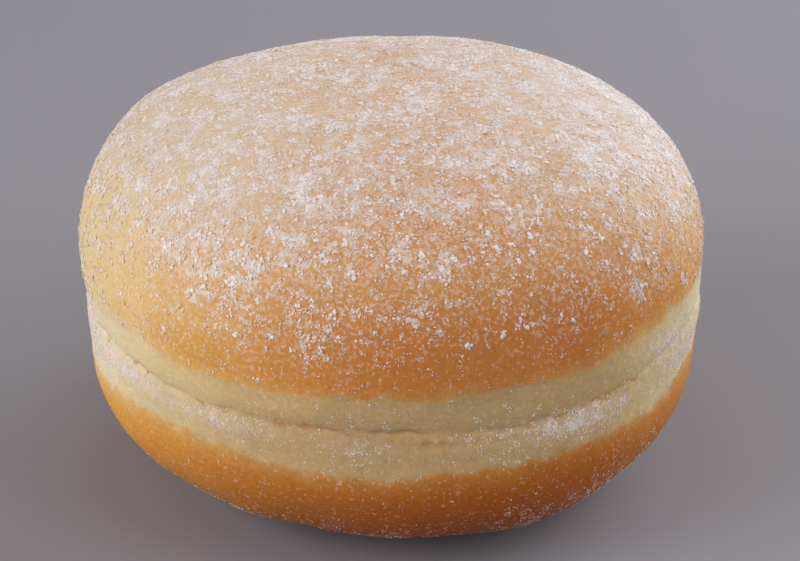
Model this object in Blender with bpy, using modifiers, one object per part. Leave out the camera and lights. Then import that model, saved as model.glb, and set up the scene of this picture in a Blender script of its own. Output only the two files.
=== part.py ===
"""A sugared jelly filled doughnut of the ball kind, uncut, modelled as one solid body.

The body is a ball of yeast dough that was fried on one side and then on the other. It floats while
it fries, so a pale belt with a soft crease stays between the browned crown and the browned base.
The filling is inside and doesn't show, so the body is solid. Lengths are in metres, +Z is up, and
the origin is the centre of the flat spot that the doughnut rests on.
"""

import math

import bmesh
import bpy
import numpy as np

NAME = "doughnut"

# Driving dimensions.
DIAMETER = 0.0880
HEIGHT = 0.0550
FOOT_RADIUS = 0.0225

# The crown is a quarter superellipse above the height where it is widest, and the base is one
# below its own widest height. Powers above 2 give fuller shoulders than an ellipse has.
CROWN_WIDEST = 0.0295
CROWN_SIDE_POWER = 2.7
CROWN_TOP_POWER = 3.2
BASE_WIDEST = 0.0186
BASE_SIDE_POWER = 2.2
BASE_FOOT_POWER = 2.3

# The belt is pinched under the crown and creased along its middle. Each groove runs round at its
# own height and wanders up and down in a few waves, as (count, swing, direction in degrees).
PINCH = {"height": 0.0306, "depth": 0.0002, "width": 0.0020,
         "wander": ((1, 0.0019, 6), (3, 0.0005, -8))}
CREASE = {"height": 0.0262, "depth": 0.0003, "width": 0.0014,
          "wander": ((1, 0.0006, 10), (2, 0.0005, -4), (3, 0.0007, -26), (4, 0.0006, -25),
                     (5, 0.0005, -14))}

# Dough shaped by hand is not quite round: waves round the outline, as (count, swell, direction in
# degrees), and the crown has slid a little over the base.
CROWN_WAVES = ((2, 0.0004, -43), (3, 0.0002, 37), (4, 0.0005, -34))
BASE_WAVES = ((2, 0.0007, -70), (3, 0.0005, 30), (4, 0.0009, 28))
CROWN_SLIDE = (-0.0005, -0.0008)

# Fineness of the turned surface.
TURN_STEPS = 64
CROWN_POINTS = 18
BELT_POINTS = 16
BASE_POINTS = 12
FOOT_RING = 0.6
CURVE_SAMPLES = 400
MERGE = 0.00001

# The crust's plain colour, as linear values.
CRUST_COLOUR = (0.42, 0.19, 0.06, 1.0)
CRUST_ROUGHNESS = 0.6


def empty_scene():
    """Remove what a new file holds, so that only the doughnut is left."""
    for old in list(bpy.data.objects):
        bpy.data.objects.remove(old, do_unlink=True)


def even_points(radii, heights, count):
    """Points spaced evenly along a curve, its two ends among them."""
    steps = np.hypot(np.diff(radii), np.diff(heights))
    along = np.concatenate([[0.0], np.cumsum(steps)])
    stops = np.linspace(0.0, along[-1], count)
    return list(zip(np.interp(stops, along, radii), np.interp(stops, along, heights)))


def crown_curve():
    """From the top of the doughnut down to where the crown is widest."""
    turn = np.linspace(math.pi / 2, 0.0, CURVE_SAMPLES)
    radii = DIAMETER / 2 * np.cos(turn) ** (2 / CROWN_SIDE_POWER)
    heights = CROWN_WIDEST + (HEIGHT - CROWN_WIDEST) * np.sin(turn) ** (2 / CROWN_TOP_POWER)
    radii[0] = 0.0
    return even_points(radii, heights, CROWN_POINTS)


def base_curve():
    """From where the base is widest down and in to the edge of the flat foot."""
    widest = DIAMETER / 2
    left = 1.0 - (FOOT_RADIUS / widest) ** BASE_SIDE_POWER
    depth = BASE_WIDEST / left ** (1 / BASE_FOOT_POWER)
    heights = np.linspace(BASE_WIDEST, 0.0, CURVE_SAMPLES)
    fall = (BASE_WIDEST - heights) / depth
    radii = widest * (1.0 - fall ** BASE_FOOT_POWER) ** (1 / BASE_SIDE_POWER)
    return even_points(radii, heights, BASE_POINTS)


def outline():
    """The turned profile, from the top pole down the outer side to the middle of the foot."""
    belt = [(DIAMETER / 2, height)
            for height in np.linspace(CROWN_WIDEST, BASE_WIDEST, BELT_POINTS + 2)[1:-1]]
    foot = [(FOOT_RADIUS * FOOT_RING, 0.0), (0.0, 0.0)]
    return crown_curve() + belt + base_curve() + foot


def turned_body():
    """Turn the outline round the upright axis with a Screw modifier, and return the mesh."""
    points = outline()
    profile = bmesh.new()
    corners = [profile.verts.new((radius, 0.0, height)) for radius, height in points]
    for upper, lower in zip(corners, corners[1:]):
        profile.edges.new((upper, lower))
    mesh = bpy.data.meshes.new(NAME + "_outline")
    profile.to_mesh(mesh)
    profile.free()

    maker = bpy.data.objects.new(NAME + "_outline", mesh)
    bpy.context.scene.collection.objects.link(maker)
    screw = maker.modifiers.new("turn", "SCREW")
    screw.axis = "Z"
    screw.angle = math.tau
    screw.steps = TURN_STEPS
    screw.render_steps = TURN_STEPS
    screw.use_merge_vertices = True
    screw.merge_threshold = MERGE
    evaluated = maker.evaluated_get(bpy.context.evaluated_depsgraph_get())
    body = bpy.data.meshes.new_from_object(evaluated)
    bpy.data.objects.remove(maker, do_unlink=True)
    return body


def waves(angle, terms):
    """The sum of waves round the outline at an angle."""
    return sum(swell * math.cos(count * (angle - math.radians(toward)))
               for count, swell, toward in terms)


def groove(height, angle, shape):
    """How far a groove draws the surface in at a height and an angle."""
    middle = shape["height"] + waves(angle, shape["wander"])
    return shape["depth"] * math.exp(-((height - middle) / shape["width"]) ** 2)


def soften(value):
    """Run from 0 to 1 with level ends."""
    value = min(max(value, 0.0), 1.0)
    return value * value * (3.0 - 2.0 * value)


def hand_shape(mesh):
    """Give the turned body its grooves, its waves and its slide, and centre it again."""
    for vertex in mesh.vertices:
        x, y, z = vertex.co
        radius = math.hypot(x, y)
        if radius > 0.0:
            angle = math.atan2(y, x)
            crownward = soften((z - BASE_WIDEST) / (CROWN_WIDEST - BASE_WIDEST))
            swell = crownward * waves(angle, CROWN_WAVES) + (1 - crownward) * waves(angle, BASE_WAVES)
            shaped = radius * (1.0 + swell / (DIAMETER / 2))
            shaped -= groove(z, angle, PINCH) + groove(z, angle, CREASE)
            x, y = shaped * math.cos(angle), shaped * math.sin(angle)
        slide = soften((z - BASE_WIDEST) / (CROWN_WIDEST - BASE_WIDEST))
        vertex.co = (x + slide * CROWN_SLIDE[0], y + slide * CROWN_SLIDE[1], z)

    for axis in (0, 1):
        places = [vertex.co[axis] for vertex in mesh.vertices]
        middle = (min(places) + max(places)) / 2
        for vertex in mesh.vertices:
            vertex.co[axis] -= middle


def close_poles(mesh):
    """Merge the points that the turn leaves on the axis, and face every side outwards."""
    shell = bmesh.new()
    shell.from_mesh(mesh)
    bmesh.ops.remove_doubles(shell, verts=shell.verts, dist=MERGE)
    bmesh.ops.recalc_face_normals(shell, faces=shell.faces)
    shell.to_mesh(mesh)
    shell.free()


def crust_material():
    material = bpy.data.materials.new("fried dough crust")
    material.use_nodes = True
    shader = material.node_tree.nodes["Principled BSDF"]
    shader.inputs["Base Color"].default_value = CRUST_COLOUR
    shader.inputs["Roughness"].default_value = CRUST_ROUGHNESS
    shader.inputs["Metallic"].default_value = 0.0
    return material


def build():
    empty_scene()
    collection = bpy.data.collections.new("jelly filled doughnut")
    bpy.context.scene.collection.children.link(collection)

    mesh = turned_body()
    close_poles(mesh)
    hand_shape(mesh)
    mesh.name = NAME
    mesh.shade_smooth()

    doughnut = bpy.data.objects.new(NAME, mesh)
    doughnut.data.materials.append(crust_material())
    collection.objects.link(doughnut)


build()
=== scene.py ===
# %% [markdown]
# # A jelly filled doughnut
# A ball of yeast dough, fried on one side and then on the other, filled with jelly and dusted with
# granulated sugar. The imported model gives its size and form. This lesson lays a fine skin on that form,
# gives the skin its relief and the torn crease of its pale belt, finishes the crust and the crumb, and
# sprinkles on the sugar, grain by grain.

# %% Load the frame
import math

import bpy
import numpy as np
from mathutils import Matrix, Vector, noise


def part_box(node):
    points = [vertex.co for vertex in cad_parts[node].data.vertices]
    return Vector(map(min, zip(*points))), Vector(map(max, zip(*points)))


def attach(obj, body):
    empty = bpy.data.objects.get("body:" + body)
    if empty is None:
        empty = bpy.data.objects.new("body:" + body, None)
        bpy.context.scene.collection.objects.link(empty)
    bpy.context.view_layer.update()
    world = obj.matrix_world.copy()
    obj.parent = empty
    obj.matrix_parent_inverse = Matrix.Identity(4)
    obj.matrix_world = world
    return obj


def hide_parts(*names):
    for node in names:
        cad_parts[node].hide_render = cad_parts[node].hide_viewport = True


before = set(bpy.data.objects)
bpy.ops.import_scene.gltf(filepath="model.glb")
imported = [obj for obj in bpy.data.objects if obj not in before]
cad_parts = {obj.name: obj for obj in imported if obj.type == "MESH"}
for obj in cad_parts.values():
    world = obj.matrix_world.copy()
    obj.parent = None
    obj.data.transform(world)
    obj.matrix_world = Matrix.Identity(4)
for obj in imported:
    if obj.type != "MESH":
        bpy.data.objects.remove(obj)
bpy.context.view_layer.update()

LOW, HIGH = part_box("doughnut")
CENTRE = (LOW + HIGH) / 2
MM = 0.001
print("frame, mm:", [round((high - low) / MM, 1) for low, high in zip(LOW, HIGH)])

# %% [markdown]
# ## The guide
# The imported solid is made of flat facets. A copy of it is welded, its triangles are joined back into
# four-sided faces, and Subdivision Surface rounds it. The copy only guides the skin and is thrown away
# afterwards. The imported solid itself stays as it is.

# %% Copy and round the solid
def only(piece):
    """Select one object and make it the active one."""
    bpy.ops.object.select_all(action="DESELECT")
    piece.select_set(True)
    bpy.context.view_layer.objects.active = piece


def apply_modifier(piece, kind, **settings):
    """Give a piece a modifier with these settings and apply it."""
    only(piece)
    modifier = piece.modifiers.new(kind.lower(), kind)
    for name, value in settings.items():
        setattr(modifier, name, value)
    bpy.ops.object.modifier_apply(modifier=modifier.name)


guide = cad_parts["doughnut"].copy()
guide.data = guide.data.copy()
guide.name = "guide"
bpy.context.scene.collection.objects.link(guide)
only(guide)
bpy.ops.object.mode_set(mode="EDIT")
bpy.ops.mesh.select_all(action="SELECT")
bpy.ops.mesh.remove_doubles(threshold=0.00001)
bpy.ops.mesh.tris_convert_to_quads()
bpy.ops.object.mode_set(mode="OBJECT")
apply_modifier(guide, "SUBSURF", levels=2, render_levels=2)
print("guide:", len(guide.data.polygons), "faces")

# %% [markdown]
# ## The skin
# Relief looks best on even, nearly square faces. A UV sphere crowds its faces at the poles, so the skin
# starts as a cube instead: Subdivision Surface rounds it and splits each side into a fine grid, Cast
# makes it a true ball, and the ball is squashed to the doughnut's proportions. Shrinkwrap then lays it
# on the guide.

# %% Wrap the skin on the guide
SKIN_LEVELS = 7

bpy.ops.object.select_all(action="DESELECT")
bpy.ops.mesh.primitive_cube_add(size=2, location=(0, 0, 0))
dough = bpy.context.object
dough.name = "dough"
apply_modifier(dough, "SUBSURF", levels=SKIN_LEVELS, render_levels=SKIN_LEVELS)
apply_modifier(dough, "CAST", factor=1.0, use_radius_as_size=False, size=1.0)
ball = np.array([corner.co for corner in dough.data.vertices])
ball /= np.linalg.norm(ball, axis=1)[:, None]

only(dough)
bpy.ops.object.mode_set(mode="EDIT")
bpy.ops.mesh.select_all(action="SELECT")
bpy.ops.transform.resize(value=(HIGH - LOW) / 2)
bpy.ops.transform.translate(value=CENTRE)
bpy.ops.object.mode_set(mode="OBJECT")
apply_modifier(dough, "SHRINKWRAP", target=guide, wrap_method="PROJECT",
               use_negative_direction=True, use_positive_direction=True)
bpy.data.objects.remove(guide, do_unlink=True)
print("skin:", len(dough.data.polygons), "faces")

# %% [markdown]
# ## The lines of the belt
# The doughnut floats while it fries, so a belt round its middle stays out of the hot fat and pale. The
# belt has three lines: the lower rim of the browned crown, the crease where the dough folded as the
# crown rose, and the upper rim of the browned base. None of them is level. Each is a height with a few
# waves round the doughnut, and a finer wobble from noise. The crown's rim and the crease follow the
# packed form.

# %% Heights of the three lines
# Each line has a level and its waves: how many there are round the doughnut, how far they swing and the
# direction in degrees of a crest.
CROWN_RIM = (30.6 * MM, ((1, 1.9 * MM, 6), (3, 0.5 * MM, -8)))
CREASE = (26.2 * MM, ((1, 0.6 * MM, 10), (2, 0.5 * MM, -4), (3, 0.7 * MM, -26), (4, 0.6 * MM, -25),
                      (5, 0.5 * MM, -14)))
BASE_RIM = (19.3 * MM, ((1, 0.4 * MM, -50), (4, 0.7 * MM, 41), (5, 0.3 * MM, 0)))
# Stretches where a rim climbs or sinks more: direction and reach in degrees, and how far it climbs.
CROWN_RIM_CLIMBS = ((-32, 18, 1.3 * MM), (-143, 12, 1.7 * MM))
BASE_RIM_CLIMBS = ((-160, 12, -0.6 * MM), (-120, 12, 0.5 * MM), (-55, 8, 0.4 * MM), (-22, 12, 1.6 * MM))
# How far the noise moves each line.
CROWN_RIM_WOBBLE = 0.35 * MM
BASE_RIM_WOBBLE = 0.45 * MM
CREASE_WOBBLE = 0.3 * MM


def line_height(line, angle):
    """The height of a line of the belt at each angle."""
    level, swings = line
    return level + sum(swing * np.cos(count * (angle - math.radians(toward)))
                       for count, swing, toward in swings)


def lumps(places, size, seed):
    """Smooth noise from about -1 to 1 whose lumps are this far apart, in metres."""
    shift = Vector((7.3 * seed, 3.1 * seed, 5.9 * seed))
    return 1.6 * np.array([noise.noise(Vector(place) / size + shift) for place in places])


def rise(value, start, end):
    """From 0 at start to 1 at end, with level ends."""
    share = np.clip((value - start) / (end - start), 0, 1)
    return share * share * (3 - 2 * share)


def hump(value, width):
    """1 at 0, and falling to nothing a little past this width."""
    return np.exp(-(value / width) ** 2)


def beside(direction, width):
    """1 where the skin faces this direction, in degrees, falling away over the width."""
    off = np.degrees(np.angle(np.exp(1j * (angle - math.radians(direction)))))
    return hump(off, width)


def climbs_of(stretches):
    """How much further a rim climbs at each vertex of the skin."""
    return sum(climb * beside(toward, reach) for toward, reach, climb in stretches)


def corners_of(mesh):
    """The places and the normals of a mesh's vertices."""
    places = np.empty(len(mesh.vertices) * 3, np.float32)
    normals = np.empty(len(mesh.vertices) * 3, np.float32)
    mesh.vertices.foreach_get("co", places)
    mesh.vertex_normals.foreach_get("vector", normals)
    return places.reshape(-1, 3).astype(float), normals.reshape(-1, 3).astype(float)


place, normal = corners_of(dough.data)
angle = np.arctan2(place[:, 1], place[:, 0])
height = place[:, 2].copy()
small_wobble = lumps(place, 2.5 * MM, 1)
crown_rim = line_height(CROWN_RIM, angle)
base_rim = line_height(BASE_RIM, angle)
over_rim = height - crown_rim + CROWN_RIM_WOBBLE * small_wobble - climbs_of(CROWN_RIM_CLIMBS)
under_rim = base_rim - height + BASE_RIM_WOBBLE * small_wobble + climbs_of(BASE_RIM_CLIMBS)
from_crease = height - line_height(CREASE, angle) + CREASE_WOBBLE * lumps(place, 3 * MM, 2)
print("belt, mm:", round(float((crown_rim - base_rim).mean() / MM), 1))

# %% [markdown]
# ## Relief
# Fried dough is never smooth. The crown has broad, shallow swells and fine puckers, the crust stands a
# hair proud of the belt, and the belt is nearly flat, with a thin torn crease along it and crumbs that
# stand up below the crease. All of it is moved in real geometry along the normals, because relief shows
# on the outline and in raking light. The measured size is over the sugar, so under it the crust sits
# lower by the depth of a grain.

# %% Move the skin
SUGAR_DEPTH = 0.4 * MM
CROWN_STANDS_PROUD = 0.16 * MM
BASE_STANDS_PROUD = 0.10 * MM
ROLL_SWELL = 0.06 * MM
CRUMB_RELIEF = 0.16 * MM
on_crown = rise(over_rim, -0.2 * MM, 1.2 * MM)
on_base = rise(under_rim, -0.2 * MM, 1.2 * MM)
on_belt = 1 - np.maximum(on_crown, on_base)
# The foot stays flat, so all relief dies away towards it.
off_foot = rise(height, 0.3 * MM, 5 * MM)

swells = 0.30 * MM * lumps(place, 15 * MM, 3)
puckers = 0.07 * MM * lumps(place, 5 * MM, 4)
grit = (0.02 + 0.03 * on_belt) * MM * lumps(place, 1.6 * MM, 5)
torn = rise(lumps(place, 4 * MM, 6), -0.5, 0.7)
tear_depth = (0.05 + 0.3 * torn) * MM

relief = swells + puckers + grit
relief += CROWN_STANDS_PROUD * on_crown + BASE_STANDS_PROUD * on_base
relief -= SUGAR_DEPTH * rise(over_rim, 2 * MM, 14 * MM)
relief -= tear_depth * hump(from_crease, 0.35 * MM)
relief += ROLL_SWELL * hump(from_crease + 3.6 * MM, 1.8 * MM)
crumbly = hump(from_crease + 1.2 * MM, 1.1 * MM) * (0.5 + 0.8 * beside(-84, 16))
relief += CRUMB_RELIEF * crumbly * lumps(place, 1.1 * MM, 7)
place += normal * (relief * off_foot)[:, None]
dough.data.vertices.foreach_set("co", place.astype(np.float32).ravel())
dough.data.update()
dough.data.shade_smooth()
print("relief, mm:", round(float(relief.min() / MM), 2), "to", round(float(relief.max() / MM), 2))

# %% [markdown]
# ## Where the sugar lies
# The warm doughnut was dropped into sugar with its crown down and a little tilted, so sugar lies thick on
# top, reaches furthest down the back and the right, and is nearly gone above the belt at the front. What
# fell off caught on the ledge under the crease and round the foot. Cover is the share of the surface that
# grains hide. Haze is the share that crushed sugar whitens between them.

# %% Work out the cover
# Facing runs from -1, for skin that faces down, to 1, for skin that faces up, and further where the sugar
# reaches down the side. The next two rows give the crown's cover and haze for each value of it.
FACING = (-1.0, 0.0, 0.15, 0.3, 0.45, 0.6, 0.75, 0.88, 0.95, 1.05, 1.2, 1.35)
CROWN_COVER = (0.0, 0.03, 0.08, 0.17, 0.27, 0.33, 0.41, 0.50, 0.60, 0.76, 0.88, 0.92)
CROWN_HAZE = (0.0, 0.0, 0.0, 0.0, 0.0, 0.01, 0.03, 0.07, 0.12, 0.28, 0.55, 0.8)
# How much further the sugar reaches down the side in each direction, in degrees.
REACH = ((-180, 0.4), (-165, 0.35), (-135, 0.3), (-105, 0.2), (-75, 0.0), (-45, 0.13), (-15, 0.55),
         (15, 0.85), (75, 0.85), (105, 0.75), (135, 0.75), (165, 0.5), (180, 0.4))
# Places with more or less sugar than the rest: direction in degrees, height in mm, reach in mm, and how
# many times as much sugar.
SPOTS = ((-118, 42.8, 3.0, 5.0), (-102, 50.8, 2.5, 1.6), (-81, 46.8, 2.2, 1.8), (-44, 40.0, 1.8, 4.0),
         (-52, 46.0, 6.0, 0.35), (-68, 38.5, 4.5, 0.45), (-103, 52.8, 4.5, 0.6), (-112, 36.0, 4.0, 0.3),
         (-145, 37.0, 7.0, 0.4))
# Drifts of sugar on the belt: direction and reach in degrees, height and reach in mm, and cover.
DRIFTS = ((-56, 9, 23.9, 1.5, 0.55), (-96, 5, 23.2, 1.5, 0.2), (-144, 8, 24.6, 1.5, 0.45),
          (-35, 6, 29.5, 1.6, 0.35), (-165, 14, 24.0, 4.0, 0.55), (-122, 12, 24.0, 1.6, 0.3),
          (-70, 7, 24.0, 2.5, 0.12), (-26, 16, 26.0, 5.0, 0.25))
MOST_COVER = 0.97
MOST_LAYERS = 4.0
STRAY_ON_BELT = 0.012
STRAY_ON_BASE = 0.004


def layers_for(share):
    """How many layers of grains make this cover. Grains overlap, so cover grows ever slower."""
    return -np.log(1 - np.clip(share, 0, MOST_COVER))


def cover_of(layers):
    """The cover that these layers of grains make."""
    return 1 - np.exp(-layers)


def by_direction(table):
    """The value of a table of (direction, value) pairs at each vertex of the skin."""
    turns, values = zip(*table)
    return np.interp(np.degrees(angle), turns, values)


place, normal = corners_of(dough.data)
sideways = np.linalg.norm(normal[:, :2], axis=1)
facing = normal[:, 2] + by_direction(REACH) * sideways
smooth_cover = np.interp(facing, FACING, CROWN_COVER)

# Sugar clings to itself, so the grains gather in clumps of three sizes.
clumpy = 1.1 * lumps(place, 1.2 * MM, 8) + 0.9 * lumps(place, 2.6 * MM, 17)
clumpy += 0.6 * lumps(place, 6 * MM, 9)
crown_layers = layers_for(smooth_cover) * on_crown * np.exp(clumpy - 0.65)
for toward, level, reach, times in SPOTS:
    nearest = np.argmax(beside(toward, 10) - np.abs(height / MM - level) / 10)
    away = np.linalg.norm(place - place[nearest], axis=1)
    crown_layers *= 1 + (times - 1) * hump(away, reach * MM)
crown_layers = np.minimum(crown_layers, MOST_LAYERS)
haze = np.interp(facing, FACING, CROWN_HAZE) * rise(over_rim, 0.5 * MM, 4 * MM)
haze *= np.exp(0.5 * clumpy - 0.1)

drifts = sum(share * beside(toward, span) * hump(height - level * MM, reach * MM)
             for toward, span, level, reach, share in DRIFTS)
# The ledge under the crease holds sugar at the back and the sides.
ledge = hump(from_crease + 2.4 * MM, 1.6 * MM) * rise(lumps(place, 9 * MM, 10), 0.2, 1.1)
ledge *= 1 - beside(-90, 80)
foot_patches = 0.05 + 0.25 * rise(lumps(place, 7 * MM, 11), -0.2, 1.0)
foot_rim = foot_patches * hump(height - 7 * MM, 2.2 * MM)
foot_rim += 0.22 * beside(-48, 16) * hump(height - 11 * MM, 3.2 * MM)
low_cover = (drifts + 0.5 * ledge + STRAY_ON_BELT) * on_belt + (foot_rim + STRAY_ON_BASE) * on_base
low_layers = layers_for(low_cover) * (1 - on_crown) * np.exp(0.9 * lumps(place, 1.4 * MM, 12) - 0.2)
haze = np.maximum(haze, 0.55 * drifts * on_belt * np.exp(0.4 * lumps(place, 2 * MM, 14)))
print("cover of the crown:", round(float(cover_of(crown_layers).mean()), 2))
print("cover below it:", round(float(cover_of(low_layers).mean()), 3))

# %% [markdown]
# ## Marks on the skin
# A finish can't know where the rims, the crease or the sugar lie, so each vertex of the skin carries
# these as numbers, and the material reads them with Attribute nodes. The dough fried unevenly, so the
# crust is a pale gold on the left and a deep brown at the front.

# %% Give the skin its marks
# How pale the dough is in each direction, in degrees, and at the top of the crown.
PALENESS = ((-180, 1.0), (-150, 0.85), (-128, 0.5), (-110, 0.22), (-90, 0.03), (-55, 0.03), (-25, 0.4),
            (20, 0.5), (80, 0.5), (140, 0.85), (180, 1.0))
PALE_TOP = 0.35


def mark(piece, name, values):
    """Store a number for each vertex, which a material can read."""
    layer = piece.data.attributes.new(name, "FLOAT", "POINT")
    layer.data.foreach_set("value", values.astype(np.float32))


off_axis = rise(np.hypot(place[:, 0], place[:, 1]), 2 * MM, 30 * MM)
paleness = PALE_TOP + (by_direction(PALENESS) - PALE_TOP) * off_axis
mark(dough, "over_rim", over_rim / MM)
mark(dough, "under_rim", under_rim / MM)
mark(dough, "from_crease", from_crease / MM)
mark(dough, "crumbly", crumbly)
mark(dough, "cover", cover_of(crown_layers + low_layers))
mark(dough, "haze", haze)
mark(dough, "dust", smooth_cover * on_crown)
mark(dough, "pale", paleness)
# On the belt the paleness climbs further on the right: that extra paleness is painted light, for the
# brighter light on that flank.
mark(dough, "belt_pale_and_painted_light", np.clip(paleness + 0.5 * beside(-18, 30), 0, 1))
print("marks:", len([layer for layer in dough.data.attributes if layer.data_type == "FLOAT"]))

# %% [markdown]
# ## A map for the skin
# The finish is worked out from places on the piece, but an exported copy needs a flat map to carry it.
# The cube that the skin came from gives an even one: each of its six sides becomes a square, and the
# squares lie three by two.

# %% Lay the six sides flat
def lay_flat(piece, directions, columns=3, rows=2, gap=0.006):
    """Give a piece a map in which each face lies in the square of the side that it points to."""
    mesh = piece.data
    layer = mesh.uv_layers.get("OFBake") or mesh.uv_layers.new(name="OFBake")
    corner = np.empty(len(mesh.loops), np.int32)
    mesh.loops.foreach_get("vertex_index", corner)
    face_corners = corner.reshape(-1, 4)
    middle_way = directions[face_corners].mean(axis=1)
    axis = np.abs(middle_way).argmax(axis=1)
    positive = middle_way[np.arange(len(axis)), axis] > 0
    across, upwards = (axis + 1) % 3, (axis + 2) % 3
    way = directions[face_corners]
    row = np.arange(len(axis))[:, None]
    column = np.arange(4)[None, :]
    depth = np.abs(way[row, column, axis[:, None]])
    flat = np.stack([way[row, column, across[:, None]], way[row, column, upwards[:, None]]], -1)
    flat = np.arctan(flat / depth[..., None]) / (math.pi / 4) / 2 + 0.5
    cell = np.stack([axis / columns, positive / rows], -1)[:, None, :]
    size = np.array([1 / columns, 1 / rows])
    flat = cell + size * (gap + (1 - 2 * gap) * flat)
    layer.data.foreach_set("uv", flat.reshape(-1).astype(np.float32))


lay_flat(dough, ball)
for spare in [layer for layer in dough.data.uv_layers if layer.name != "OFBake"]:
    dough.data.uv_layers.remove(spare)
print("map:", dough.data.uv_layers[0].name)

# %% [markdown]
# ## Tools for the finishes
# Colours are written as sRGB hex values, as a paint chart gives them, and turned to the linear values
# that the shader works with. One function adds a node with its settings and its links. A Mix node for
# colours takes its factor at input 0 and its two colours at inputs 6 and 7, and gives output 2.

# %% Colour and node helpers
def linear(code, strength=1.0):
    """A linear colour from an sRGB hex value such as "c8873f"."""
    values = [int(code[start:start + 2], 16) / 255 for start in (0, 2, 4)]
    turned = [value / 12.92 if value <= 0.04045 else ((value + 0.055) / 1.055) ** 2.4 for value in values]
    return [strength * value for value in turned] + [1.0]


def add(tree, kind, inputs=None, stops=None, **settings):
    """Add a node, set its properties and ramp stops, and set or link its inputs."""
    node = tree.nodes.new("ShaderNode" + kind)
    for name, value in settings.items():
        setattr(node, name, value)
    if stops:
        ramp = node.color_ramp
        ramp.elements.remove(ramp.elements[1])
        for index, (position, code) in enumerate(stops):
            stop = ramp.elements.new(position) if index else ramp.elements[0]
            stop.position = position
            stop.color = linear(code)
    for name, value in (inputs or {}).items():
        if isinstance(value, bpy.types.NodeSocket):
            tree.links.new(value, node.inputs[name])
        else:
            node.inputs[name].default_value = value
    return node


def new_material(name):
    """A material with a lone Principled shader, and its tree and shader."""
    material = bpy.data.materials.new(name)
    material.use_nodes = True
    return material, material.node_tree, material.node_tree.nodes["Principled BSDF"]


def per_metre(millimetres):
    """The Scale that makes a pattern repeat this far apart."""
    return 1000.0 / millimetres


# %% [markdown]
# ## Fried dough
# Crust browns where hot fat touches it, and the colour deepens with the distance from the belt over a
# few millimetres. The crumb of the belt is a matte cream. A Color Ramp turns each distance into a
# colour, and noise on Object coordinates gives the mottles, the cracks and the specks of sugar dust.
# Light sinks a little into the soft dough before it comes out again, so it has some subsurface.

# %% The finish of crust and crumb
fried, tree, shader = new_material("fried yeast dough")
where = add(tree, "TexCoord").outputs["Object"]
MARKS = ("over_rim", "under_rim", "from_crease", "crumbly", "cover", "haze", "dust", "pale", "belt_pale_and_painted_light")
over, under, crease, crumbs, cover, haze_mark, dust, pale, belt_pale_and_painted_light = [
    add(tree, "Attribute", attribute_name=name).outputs["Fac"] for name in MARKS]

blotch = add(tree, "TexNoise", {"Vector": where, "Scale": per_metre(9), "Detail": 4.0, "Roughness": 0.6})
mottle = add(tree, "TexNoise", {"Vector": where, "Scale": per_metre(2.4), "Detail": 3.0, "Roughness": 0.6})
grain = add(tree, "TexNoise", {"Vector": where, "Scale": per_metre(0.7), "Detail": 2.0, "Roughness": 0.55})

# How far each crust has gone past its rim, wobbled by the mottles. The ramps run over 16 mm.
wobble = add(tree, "MapRange", {"Value": mottle.outputs["Fac"], "From Min": 0.3, "From Max": 0.7,
                                "To Min": -0.4, "To Max": 0.4}).outputs[0]
over = add(tree, "Math", {0: over, 1: wobble}, operation="ADD").outputs[0]
under = add(tree, "Math", {0: under, 1: wobble}, operation="ADD").outputs[0]
RAMP_REACH = {"From Min": -1.0, "From Max": 15.0}
crown_depth = add(tree, "MapRange", {"Value": over, **RAMP_REACH}).outputs[0]
base_depth = add(tree, "MapRange", {"Value": under, **RAMP_REACH}).outputs[0]

# Three colours for the crown and two for the base, from the deepest fried to the palest.
crown_brown = add(tree, "ValToRGB", {"Fac": crown_depth}, stops=(
    (0.03, "d8b07a"), (0.07, "e0a65c"), (0.11, "e39a50"), (0.16, "de8c42"), (0.22, "da873e"),
    (0.375, "d5823b"), (0.6, "d2823f"), (1.0, "d99750")))
crown_amber = add(tree, "ValToRGB", {"Fac": crown_depth}, stops=(
    (0.03, "e6c692"), (0.08, "e9c27c"), (0.16, "e7ae55"), (0.22, "e2a348"), (0.5, "e5b062"),
    (1.0, "e4b474")))
crown_gold = add(tree, "ValToRGB", {"Fac": crown_depth}, stops=(
    (0.03, "eedcb8"), (0.08, "f4e1be"), (0.16, "f4deac"), (0.25, "f3da9f"), (0.45, "efd49b"),
    (1.0, "eccd92")))
base_brown = add(tree, "ValToRGB", {"Fac": base_depth}, stops=(
    (0.03, "cfaa78"), (0.08, "cc9552"), (0.12, "ca8339"), (0.2, "c67327"), (0.28, "bd671c"),
    (0.375, "b6611a"), (0.6, "ae5a1c"), (1.0, "964f24")))
base_gold = add(tree, "ValToRGB", {"Fac": base_depth}, stops=(
    (0.03, "ead4ac"), (0.1, "e8c37c"), (0.16, "ecb763"), (0.25, "efae50"), (0.4, "eda544"),
    (1.0, "e29a42")))
# Up to half pale, the crown goes from brown to amber, and from there on to gold.
half = add(tree, "Math", {0: pale, 1: 2.0}, operation="MULTIPLY").outputs[0]
rest = add(tree, "Math", {0: half, 1: 1.0}, operation="SUBTRACT").outputs[0]
crown_colour = add(tree, "Mix", {0: half, 6: crown_brown.outputs[0], 7: crown_amber.outputs[0]},
                   data_type="RGBA").outputs[2]
crown_colour = add(tree, "Mix", {0: rest, 6: crown_colour, 7: crown_gold.outputs[0]},
                   data_type="RGBA").outputs[2]
base_colour = add(tree, "Mix", {0: pale, 6: base_brown.outputs[0], 7: base_gold.outputs[0]},
                  data_type="RGBA").outputs[2]
# The crumb is lighter on the right of the belt, and there the lighter crumb is painted light, not a paler
# dough.
crumb = add(tree, "ValToRGB", {"Fac": belt_pale_and_painted_light}, stops=(
    (0.0, "cfac79"), (0.25, "d6b47c"), (0.5, "e2c58f"), (0.85, "ecd8a8"), (1.0, "f1e2b8"))).outputs[0]

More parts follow.
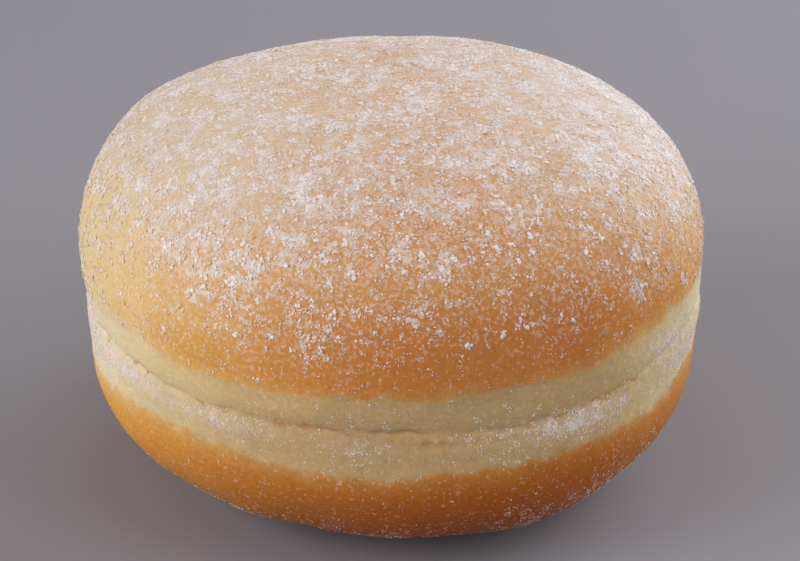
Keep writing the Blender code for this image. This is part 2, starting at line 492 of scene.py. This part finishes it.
is_crown = add(tree, "MapRange", {"Value": over, "From Min": -0.9, "From Max": 0.6},
               interpolation_type="SMOOTHSTEP").outputs[0]
is_base = add(tree, "MapRange", {"Value": under, "From Min": -0.9, "From Max": 0.6},
              interpolation_type="SMOOTHSTEP").outputs[0]
colour = add(tree, "Mix", {0: is_crown, 6: crumb, 7: crown_colour}, data_type="RGBA").outputs[2]
colour = add(tree, "Mix", {0: is_base, 6: colour, 7: base_colour}, data_type="RGBA").outputs[2]

# Mottles: the crust is a little darker and lighter in blotches, and speckled finely.
blotches = add(tree, "MapRange", {"Value": blotch.outputs["Fac"], "From Min": 0.3, "From Max": 0.7,
                                  "To Min": 0.94, "To Max": 1.05}).outputs[0]
speckles = add(tree, "MapRange", {"Value": grain.outputs["Fac"], "From Min": 0.3, "From Max": 0.7,
                                  "To Min": 0.92, "To Max": 1.06}).outputs[0]
shade = add(tree, "Math", {0: blotches, 1: speckles}, operation="MULTIPLY").outputs[0]
colour = add(tree, "Mix", {0: 1.0, 6: colour, 7: shade}, data_type="RGBA", blend_type="MULTIPLY").outputs[2]

# Sugar dust is rubbed into the crust in specks, more of them where more sugar lies.
powder = add(tree, "TexNoise", {"Vector": where, "Scale": per_metre(0.55), "Detail": 2.0, "Roughness": 0.6})
dust = add(tree, "Math", {0: dust, 1: 0.32, 2: powder.outputs["Fac"]}, operation="MULTIPLY_ADD").outputs[0]
rubbed = add(tree, "MapRange", {"Value": dust, "From Min": 0.60, "From Max": 0.72,
                                "To Max": 0.42}).outputs[0]
colour = add(tree, "Mix", {0: rubbed, 6: colour, 7: linear("f0dfd4")}, data_type="RGBA").outputs[2]

# The crease cracked as it opened, so short tan cracks wander along it. Crumbs under it are tan,
# partly toasted and partly painted shade under the crease, most of all at the front.
cracks = add(tree, "TexNoise", {"Vector": where, "Scale": per_metre(4), "Detail": 5.0, "Roughness": 0.65})
astray = add(tree, "MapRange", {"Value": mottle.outputs["Fac"], "From Min": 0.3, "From Max": 0.7,
                                "To Min": -0.7, "To Max": 0.7}).outputs[0]
near = add(tree, "Math", {0: crease, 1: astray}, operation="ADD").outputs[0]
near = add(tree, "Math", {0: near}, operation="ABSOLUTE").outputs[0]
near = add(tree, "MapRange", {"Value": near, "From Min": 0.45, "From Max": 0.1},
           interpolation_type="SMOOTHSTEP").outputs[0]
broken = add(tree, "MapRange", {"Value": cracks.outputs["Fac"], "From Min": 0.47, "From Max": 0.56,
                                "To Max": 0.8}).outputs[0]
stain = add(tree, "Math", {0: near, 1: broken}, operation="MULTIPLY").outputs[0]
# Toasting and painted shade: the crumbs under the crease darken to tan.
toasted_and_shaded = add(tree, "MapRange", {"Value": grain.outputs["Fac"], "From Min": 0.46, "From Max": 0.62,
                                 "To Max": 0.5}).outputs[0]
toasted_and_shaded = add(tree, "Math", {0: toasted_and_shaded, 1: crumbs}, operation="MULTIPLY").outputs[0]
stain = add(tree, "Math", {0: stain, 1: toasted_and_shaded}, operation="MAXIMUM").outputs[0]
colour = add(tree, "Mix", {0: stain, 6: colour, 7: linear("c58a50")}, data_type="RGBA").outputs[2]

# Freckles, where bits of old crust fried on, lie scattered over the crust. Only some of the cells of a
# Voronoi pattern have one.
spots = add(tree, "TexVoronoi", {"Vector": where, "Scale": per_metre(2.6)})
dot = add(tree, "MapRange", {"Value": spots.outputs["Distance"], "From Min": 0.11,
                             "From Max": 0.05}).outputs[0]
lot = add(tree, "SeparateColor", {0: spots.outputs["Color"]}).outputs[0]
lot = add(tree, "MapRange", {"Value": lot, "From Min": 0.72, "From Max": 0.95, "To Max": 0.5}).outputs[0]
freckle = add(tree, "Math", {0: dot, 1: lot}, operation="MULTIPLY").outputs[0]
crusty = add(tree, "Math", {0: is_crown, 1: is_base}, operation="MAXIMUM").outputs[0]
freckle = add(tree, "Math", {0: freckle, 1: crusty}, operation="MULTIPLY").outputs[0]
colour = add(tree, "Mix", {0: freckle, 6: colour, 7: linear("8a4a1c")}, data_type="RGBA").outputs[2]

# Crushed sugar between the grains frosts the crust in small patches, and whitens it evenly in a haze.
flakes = add(tree, "TexNoise", {"Vector": where, "Scale": per_metre(0.9), "Detail": 3.0, "Roughness": 0.65})
lean = add(tree, "MapRange", {"Value": cover, "To Min": -0.22, "To Max": 0.14}).outputs[0]
lean = add(tree, "Math", {0: haze_mark, 1: 0.12, 2: lean}, operation="MULTIPLY_ADD").outputs[0]
frost = add(tree, "Math", {0: flakes.outputs["Fac"], 1: lean}, operation="ADD").outputs[0]
frost = add(tree, "MapRange", {"Value": frost, "From Min": 0.46, "From Max": 0.54,
                               "To Max": 0.8}).outputs[0]
frost = add(tree, "Math", {0: frost, 1: haze_mark}, operation="MAXIMUM").outputs[0]
colour = add(tree, "Mix", {0: frost, 6: colour, 7: linear("f0e2da")}, data_type="RGBA").outputs[2]
tree.links.new(colour, shader.inputs["Base Color"])

# Fat left the crust a little glossy in places, and its fine puckers catch the light.
gloss = add(tree, "MapRange", {"Value": mottle.outputs["Fac"], "From Min": 0.3, "From Max": 0.7,
                               "To Min": 0.48, "To Max": 0.68}).outputs[0]
tree.links.new(gloss, shader.inputs["Roughness"])
bumps = add(tree, "Math", {0: grain.outputs["Fac"], 1: mottle.outputs["Fac"]}, operation="ADD").outputs[0]
bump = add(tree, "Bump", {"Height": bumps, "Strength": 0.5, "Distance": 0.15 * MM})
tree.links.new(bump.outputs[0], shader.inputs["Normal"])
shader.inputs["Specular IOR Level"].default_value = 0.25
shader.inputs["Subsurface Weight"].default_value = 0.15
shader.inputs["Subsurface Radius"].default_value = (1.0, 0.5, 0.25)
shader.inputs["Subsurface Scale"].default_value = 2 * MM
shader.inputs["IOR"].default_value = 1.45
dough.data.materials.clear()
dough.data.materials.append(fried)
print("finish:", fried.name, len(tree.nodes), "nodes")

# %% [markdown]
# ## Sugar crystals
# Granulated sugar is sharp little crystals around half a millimetre across, with chips and dust of
# broken ones among them. More than a hundred thousand lie on the crown, so each may have only a few
# faces: a block has twelve triangles, a chip, which is a three-sided prism, has eight, and a shard,
# which is a three-sided pyramid, has four. One of each is modelled.

# %% Model a block, a chip and a shard
def crystal_faces(maker, **settings):
    """The corners and the triangles of one crystal about a metre across, as arrays."""
    bpy.ops.object.select_all(action="DESELECT")
    maker(**settings)
    crystal = bpy.context.object
    bpy.ops.object.mode_set(mode="EDIT")
    bpy.ops.mesh.select_all(action="SELECT")
    bpy.ops.mesh.quads_convert_to_tris()
    bpy.ops.object.mode_set(mode="OBJECT")
    corners = np.array([corner.co for corner in crystal.data.vertices])
    triangles = np.array([face.vertices for face in crystal.data.polygons])
    bpy.data.objects.remove(crystal, do_unlink=True)
    return corners, triangles


BLOCK = crystal_faces(bpy.ops.mesh.primitive_cube_add, size=0.8)
CHIP = crystal_faces(bpy.ops.mesh.primitive_cylinder_add, vertices=3, radius=0.5, depth=0.7)
SHARD = crystal_faces(bpy.ops.mesh.primitive_cone_add, vertices=3, radius1=0.55, depth=0.85)
print("triangles:", [len(crystal[1]) for crystal in (BLOCK, CHIP, SHARD)])

# %% [markdown]
# ## Sprinkling
# A particle system would be lost on export, so the grains are real joined meshes, built from arrays.
# Triangles of the skin are drawn at random, in proportion to their area and to the grains that they
# should hold. Each gets a small clump of grains, and each grain is turned at random, flattened a little
# against the crust and sunk into it.

# %% Scatter grains over the skin
dough.data.calc_loop_triangles()
SKIN_TRIANGLES = np.array([face.vertices for face in dough.data.loop_triangles])
SKIN_CORNERS = place[SKIN_TRIANGLES]
SKIN_NORMALS = normal[SKIN_TRIANGLES].mean(axis=1)
SKIN_AREAS = np.linalg.norm(np.cross(SKIN_CORNERS[:, 1] - SKIN_CORNERS[:, 0],
                                     SKIN_CORNERS[:, 2] - SKIN_CORNERS[:, 0]), axis=1) / 2


def random_turns(chance, count):
    """Random rotation matrices."""
    a, b, c, d = chance.normal(size=(4, count))
    length = np.sqrt(a * a + b * b + c * c + d * d)
    a, b, c, d = a / length, b / length, c / length, d / length
    return np.stack([
        1 - 2 * (c * c + d * d), 2 * (b * c - a * d), 2 * (b * d + a * c),
        2 * (b * c + a * d), 1 - 2 * (b * b + d * d), 2 * (c * d - a * b),
        2 * (b * d - a * c), 2 * (c * d + a * b), 1 - 2 * (b * b + c * c)], axis=1).reshape(-1, 3, 3)


CLUMP = 4
CLUMP_SPREAD = 0.25 * MM


def sprinkle(name, crystal, count, size, wanted, lift, seed):
    """Clumps of grains of this crystal, spread over the skin by a weight for each of its vertices."""
    chance = np.random.default_rng(seed)
    weight = SKIN_AREAS * wanted[SKIN_TRIANGLES].mean(axis=1)
    clump = np.sort(chance.choice(len(weight), count // CLUMP, p=weight / weight.sum()))
    share = chance.dirichlet((1, 1, 1), len(clump))
    drawn = np.repeat(clump, CLUMP)
    way = SKIN_NORMALS[drawn]
    spot = np.repeat((SKIN_CORNERS[clump] * share[:, :, None]).sum(axis=1), CLUMP, axis=0)
    stray = chance.normal(0, CLUMP_SPREAD, (count, 3))
    spot += stray - way * (stray * way).sum(axis=1)[:, None]

    corners, triangles = crystal
    across = chance.uniform(size[0], size[1], count)
    stretch = chance.uniform(0.6, 1.15, (count, 1, 3))
    jitter = chance.uniform(-0.14, 0.14, (count, len(corners), 3))
    grains = (corners[None] + jitter) * stretch * across[:, None, None]
    grains = np.einsum("gij,gkj->gki", random_turns(chance, count), grains)
    dusty = haze[SKIN_TRIANGLES[drawn]].mean(axis=1)
    pressed = 0.64 + 0.08 * np.clip(dusty * 2, 0, 1)
    grains -= way[:, None] * (pressed[:, None] * np.einsum("gij,gj->gi", grains, way))[..., None]
    raised = across * chance.uniform(-0.08, 0.12, count)
    raised += chance.uniform(0, 1, count) ** 2 * lift * (1 - np.clip(dusty * 1.5, 0, 0.8))
    centre = spot + way * raised[:, None]
    centre[:, 2] = np.maximum(centre[:, 2], 0.6 * across)
    grains += centre[:, None, :]
    thick = wanted[SKIN_TRIANGLES[drawn]].mean(axis=1)
    white = chance.uniform(0, 1, count) + 0.15 * (np.clip(thick, 0, 2) - 0.8) + 0.5 * dusty
    white += 0.6 * on_belt[SKIN_TRIANGLES[drawn]].mean(axis=1)
    white = np.clip(white, 0, 1)
    return joined(name, grains, triangles, white, paleness[SKIN_TRIANGLES[drawn]].mean(axis=1))


def joined(name, grains, triangles, white, below):
    """One piece from arrays of grains. Each grain has its own whiteness and its own cell in the map."""
    count, corners = grains.shape[:2]
    faces = (triangles[None] + corners * np.arange(count)[:, None, None]).reshape(-1, 3)
    mesh = bpy.data.meshes.new(name)
    mesh.vertices.add(count * corners)
    mesh.vertices.foreach_set("co", grains.astype(np.float32).ravel())
    mesh.loops.add(faces.size)
    mesh.loops.foreach_set("vertex_index", faces.astype(np.int32).ravel())
    mesh.polygons.add(len(faces))
    mesh.polygons.foreach_set("loop_start", np.arange(0, faces.size, 3, dtype=np.int32))
    mesh.update(calc_edges=True)
    mesh.shade_flat()
    piece = bpy.data.objects.new(name, mesh)
    bpy.context.scene.collection.objects.link(piece)
    mark(piece, "white", np.repeat(white, corners))
    mark(piece, "pale", np.repeat(below, corners))

    cells = math.ceil(math.sqrt(count))
    home = np.stack([np.arange(count) % cells, np.arange(count) // cells], axis=1)
    corner_of_cell = np.array([(0.15, 0.15), (0.85, 0.15), (0.15, 0.85)])
    flat = (home[:, None, None, :] + corner_of_cell[None, None]) / cells
    flat = np.broadcast_to(flat, (count, len(triangles), 3, 2))
    mesh.uv_layers.new(name="OFBake").data.foreach_set("uv", flat.astype(np.float32).ravel())
    return piece


# The kinds of grain: crystal, how many, size, where they go, how far they stand up and seed. Coarse
# grains keep to the thick of the sugar, and fine ones spread wider.
CROWN_SUGAR = (
    ("sugar_crown_blocks", BLOCK, 14000, (0.34 * MM, 0.58 * MM), crown_layers ** 1.2, 0.12 * MM, 21),
    ("sugar_crown_chips", CHIP, 24000, (0.28 * MM, 0.46 * MM), crown_layers, 0.1 * MM, 22),
    ("sugar_crown_shards", SHARD, 48000, (0.22 * MM, 0.40 * MM), crown_layers ** 0.9, 0.08 * MM, 23),
    ("sugar_crown_dust", SHARD, 48000, (0.15 * MM, 0.28 * MM), crown_layers ** 0.8, 0.05 * MM, 24))
LOW_SUGAR = ("sugar_belt_and_foot", SHARD, 16000, (0.16 * MM, 0.32 * MM), low_layers, 0.05 * MM, 25)
sugar = [sprinkle(*kind) for kind in (*CROWN_SUGAR, LOW_SUGAR)]
print("triangles of sugar:", sum(len(piece.data.polygons) for piece in sugar))

# %% [markdown]
# ## The finish of sugar
# Each grain is clear, but its facets and flaws scatter so much light that a coat of them looks white.
# Part of the light goes through and takes on the colour of the crust below.

# %% The finish of sugar
clear_white, tree, shader = new_material("granulated sugar")
white = add(tree, "Attribute", attribute_name="white").outputs["Fac"]
below = add(tree, "Attribute", attribute_name="pale").outputs["Fac"]
through = add(tree, "Mix", {0: below, 6: linear("dfa065"), 7: linear("ecc893")},
              data_type="RGBA").outputs[2]
share = add(tree, "MapRange", {"Value": white, "From Max": 0.8, "To Min": 0.15},
            interpolation_type="SMOOTHSTEP").outputs[0]
tone = add(tree, "Mix", {0: share, 6: through, 7: linear("fcf2ee")}, data_type="RGBA").outputs[2]
tree.links.new(tone, shader.inputs["Base Color"])
shader.inputs["Roughness"].default_value = 0.42
shader.inputs["IOR"].default_value = 1.54
shader.inputs["Specular IOR Level"].default_value = 0.35
for piece in sugar:
    piece.data.materials.append(clear_white)

# %% [markdown]
# ## Join the frame
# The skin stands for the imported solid, and everything rides on its one body.

# %% Ride on the body
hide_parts("doughnut")
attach(dough, "root")
for piece in sugar:
    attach(piece, "root")

# %% [markdown]
# ## Floor, light and camera
# A plain floor, an even fill from all round and four large, soft lamps. The strongest is low on the
# left, so the left flank is the brightest. Two on the right open the shade on that flank, and one low
# behind lights the rim of sugar along the outline.

# %% Floor
bpy.ops.object.select_all(action="DESELECT")
bpy.ops.mesh.primitive_plane_add(size=3, location=(0, 0, 0))
floor = bpy.context.object
floor.name = "floor"
board, tree, shader = new_material("matte painted board")
shader.inputs["Base Color"].default_value = linear("9a979e")
shader.inputs["Roughness"].default_value = 0.9
floor.data.materials.append(board)

# %% Light
scene = bpy.context.scene
scene.view_settings.view_transform = "Standard"
world = bpy.data.worlds.new("studio")
world.use_nodes = True
world.node_tree.nodes["Background"].inputs["Color"].default_value = linear("f4f4fa")
world.node_tree.nodes["Background"].inputs["Strength"].default_value = 0.22
scene.world = world

LAMP_DISTANCE = 0.85
AIM = Vector((0, 0, 20 * MM))


def lamp(name, azimuth, elevation, size, watts):
    """A square area lamp aimed at the doughnut. Azimuth 0 is on the right and 90 behind."""
    data = bpy.data.lights.new(name, "AREA")
    data.size = size
    data.energy = watts
    light = bpy.data.objects.new(name, data)
    turn, climb = math.radians(azimuth), math.radians(elevation)
    away = Vector((math.cos(climb) * math.cos(turn), math.cos(climb) * math.sin(turn), math.sin(climb)))
    light.location = AIM + LAMP_DISTANCE * away
    light.rotation_euler = away.to_track_quat("Z", "Y").to_euler()
    scene.collection.objects.link(light)


lamp("left", -155, 22, 0.6, 5.4)
lamp("front_right", -23, 34, 0.6, 2.45)
lamp("back_right", 28, 33, 0.6, 2.3)
lamp("back_low", 60, 15, 0.6, 2.5)

# %% Camera
# The camera looks down on the doughnut from in front. The shift only frames the picture.
TILT = math.radians(26.09)
DISTANCE = 0.4
AIM_HEIGHT = 27 * MM
camera_data = bpy.data.cameras.new("camera")
camera_data.sensor_width = 36.0
camera_data.lens = 127.0
camera_data.shift_x = 0.0103
camera_data.shift_y = -0.0101
camera = bpy.data.objects.new("camera", camera_data)
camera.location = (0, -DISTANCE * math.cos(TILT), AIM_HEIGHT + DISTANCE * math.sin(TILT))
camera.rotation_euler = (math.pi / 2 - TILT, 0, 0)
scene.collection.objects.link(camera)
scene.camera = camera

# %% Finish
print("done")
